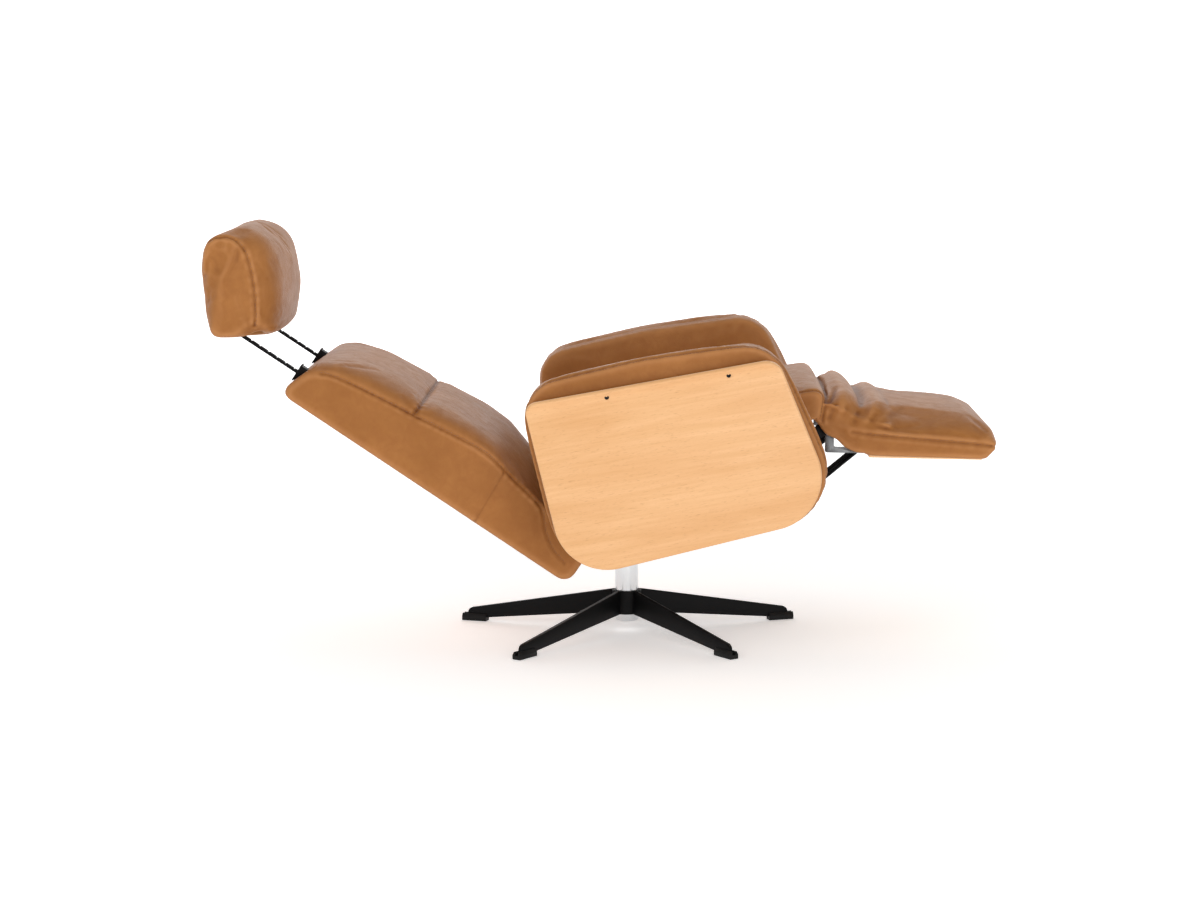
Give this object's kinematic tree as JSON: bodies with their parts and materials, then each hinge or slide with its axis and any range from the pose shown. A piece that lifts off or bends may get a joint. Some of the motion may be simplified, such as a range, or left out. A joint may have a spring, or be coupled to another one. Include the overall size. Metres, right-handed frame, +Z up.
{
  "type": "recliner armchair",
  "caption": "Swivel recliner armchair with leather upholstery, wooden side panels, folding footrest and a raised headrest on notched rods, on a flat star base.",
  "frame": {"origin": "the column's axis on the floor, at the centre of the star base", "axes": "+X points to the footrest, +Y to the sitter's left, +Z up; the rest pose is fully reclined, with the footrest out and the headrest pulled up"},
  "size_m": [1.6247, 0.7748, 0.8738],
  "materials": {
    "leather": "satin",
    "side_wood": "satin",
    "plywood": "matte",
    "black_steel": "satin",
    "chrome": "polished",
    "bright_steel": "satin",
    "frame_steel": "matte",
    "black_plastic": "matte",
    "webbing": "matte"
  },
  "bodies": {
    "base": {"base_hub": "black_steel", "base_leg_1": "black_steel", "base_leg_2": "black_steel", "base_leg_3": "black_steel", "base_leg_4": "black_steel", "base_leg_5": "black_steel", "base_glides": "black_plastic", "column_tube": "chrome", "column_bush": "black_plastic", "thrust_bearing": "black_plastic"},
    "turret": {"spindle": "bright_steel", "swivel_plate": "frame_steel", "mechanism_cheek_left": "frame_steel", "mechanism_cheek_right": "frame_steel", "tilt_bushes": "black_plastic", "gas_lower_bracket": "frame_steel", "plate_bolts": "bright_steel"},
    "gas_cylinder": {"gas_cylinder": "frame_steel"},
    "gas_rod": {"gas_rod": "bright_steel"},
    "seat": {"tilt_shaft": "bright_steel", "seat_rail_left": "frame_steel", "seat_rail_right": "frame_steel", "seat_crossbars": "frame_steel", "tilt_lugs": "frame_steel", "seat_straps": "webbing", "gas_upper_bracket": "frame_steel", "arm_brackets": "frame_steel", "back_hinge_pins": "bright_steel", "seat_cushion": "leather", "seat_front_roll": "leather", "arm_left": "leather", "arm_right": "leather", "side_panel_left": "side_wood", "side_panel_right": "side_wood", "panel_caps": "black_plastic", "footrest_side_plate_left": "black_steel", "footrest_side_plate_right": "black_steel", "footrest_hinge_pins": "bright_steel", "footrest_gusset": "leather"},
    "back": {"back_cover": "leather", "back_cushion_lower": "leather", "back_cushion_upper": "leather", "back_frame_left": "frame_steel", "back_frame_right": "frame_steel", "back_crossbars": "frame_steel", "back_straps": "webbing", "back_hinge_arms": "frame_steel", "rod_sleeves": "frame_steel", "rod_escutcheons": "black_plastic"},
    "headrest_slider": {"headrest_rod_left": "black_steel", "headrest_rod_right": "black_steel", "headrest_crossbar": "bright_steel"},
    "headrest": {"headrest_hinge_plate": "bright_steel", "headrest_cushion": "leather"},
    "footrest": {"footrest_bars": "bright_steel", "strut_pivot_pins": "bright_steel", "footrest_board": "plywood", "footrest_cushion": "leather"},
    "strut": {"footrest_struts": "black_steel", "strut_slot_pins": "bright_steel"}
  },
  "joints": [
    {"name": "column_swivel", "type": "hinge", "parent": "base", "child": "turret", "pos_m": [0, 0, 0.22], "axis": [0, 0, 1], "continuous": true},
    {"name": "seat_tilt", "type": "hinge", "parent": "turret", "child": "seat", "pos_m": [0.03, 0, 0.3], "axis": [0, 1, 0], "range_deg": [0, 10]},
    {"name": "back_recline", "type": "hinge", "parent": "seat", "child": "back", "pos_m": [-0.1099, 0, 0.31595], "axis": [0, 1, 0], "range_deg": [0, 27]},
    {"name": "headrest_slide", "type": "slide", "parent": "back", "child": "headrest_slider", "axis": [-0.829, 0, 0.5592], "range_m": [-0.08, 0]},
    {"name": "headrest_tilt", "type": "hinge", "parent": "headrest_slider", "child": "headrest", "pos_m": [-0.8116, 0, 0.67587], "axis": [0, 1, 0], "range_deg": [-50, 0]},
    {"name": "footrest_fold", "type": "hinge", "parent": "seat", "child": "footrest", "pos_m": [0.42, 0, 0.47001], "axis": [0, 1, 0], "range_deg": [0, 75], "deforming": ["footrest_gusset"]},
    {"name": "footrest_strut", "type": "hinge", "parent": "footrest", "child": "strut", "pos_m": [0.4726, 0, 0.41561], "axis": [0, 1, 0], "range_deg": [-68.6, 0]},
    {"name": "gas_spring_tilt", "type": "hinge", "parent": "turret", "child": "gas_cylinder", "pos_m": [0.11, 0, 0.265], "axis": [0, 1, 0], "range_deg": [0, 12.57]},
    {"name": "gas_spring_slide", "type": "slide", "parent": "gas_cylinder", "child": "gas_rod", "axis": [0.8744, 0, 0.4851], "range_m": [-0.01103, 0]}
  ],
  "couplings": [
    {"joint": "back_recline", "follows": "seat_tilt", "ratio": 2.7},
    {"joint": "footrest_fold", "follows": "seat_tilt", "ratio": 7.5},
    {"joint": "footrest_strut", "follows": "seat_tilt", "ratio": -6.86},
    {"joint": "gas_spring_tilt", "follows": "seat_tilt", "ratio": 1.2562},
    {"joint": "gas_spring_slide", "follows": "seat_tilt", "m_per_rad": -0.06314}
  ]
}
